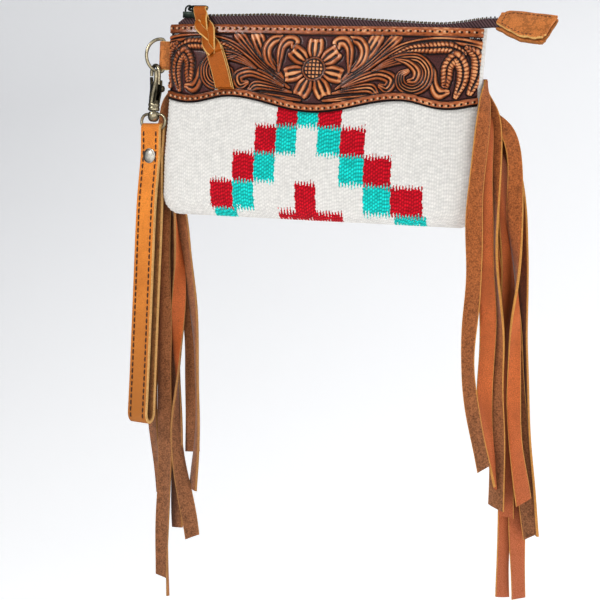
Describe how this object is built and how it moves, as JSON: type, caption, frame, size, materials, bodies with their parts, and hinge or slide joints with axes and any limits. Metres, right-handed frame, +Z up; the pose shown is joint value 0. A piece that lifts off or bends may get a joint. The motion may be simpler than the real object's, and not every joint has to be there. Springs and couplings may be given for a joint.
{
  "type": "clutch wallet",
  "caption": "Flat zip-top wool clutch with a tooled leather yoke, long leather fringe in its side seams, a braided zip pull and a wrist strap on a swivel snap hook.",
  "frame": {"origin": "on the zip's ridge at the middle of the pouch's mouth, where it is held or hangs", "axes": "+X to the right as seen from the front, +Y to the back, +Z up"},
  "size_m": [0.2988, 0.0468, 0.4332],
  "materials": {
    "wool": "matte woven wool with a stepped red and turquoise pattern",
    "tooled_leather": "carved and antiqued, semi-gloss",
    "tan_leather": "smooth grain with pale cut edges",
    "fringe_leather": "grain on one side, suede on the other",
    "zip_tape": "matte twill",
    "zip_teeth": "antiqued",
    "dark_metal": "dark antiqued, semi-gloss",
    "antique_brass": "antiqued, bright on the wear spots",
    "nickel": "polished dome"
  },
  "bodies": {
    "pouch": {"front_panel": "wool", "back_panel": "wool", "tooled_band": "tooled_leather", "zipper_tape_front": "zip_tape", "zipper_tape_back": "zip_tape", "zipper_chain": "zip_teeth", "zipper_slider": "dark_metal", "zipper_pull": "dark_metal", "braided_pull": "tan_leather", "zipper_end_tab": "tan_leather", "side_tab": "tan_leather", "d_ring": "antique_brass", "snap_hook": "antique_brass", "fringe_left": "fringe_leather", "fringe_right": "fringe_leather"},
    "gate": {"snap_gate": "dark_metal"},
    "strap": {"swivel_eye": "antique_brass", "wrist_strap": "tan_leather", "strap_rivet": "nickel"}
  },
  "joints": [
    {"name": "gate_hinge", "type": "hinge", "parent": "pouch", "child": "gate", "pos_m": [-0.12295, -0.00203, -0.0565], "axis": [0.5878, 0.809, 0], "range_deg": [0, 25], "stiffness_Nm_per_rad": 0.04, "springref_deg": -17.19},
    {"name": "swivel_turn", "type": "hinge", "parent": "pouch", "child": "strap", "pos_m": [-0.1223, -0.0025, -0.0682], "axis": [0, 0, 1], "continuous": true}
  ]
}
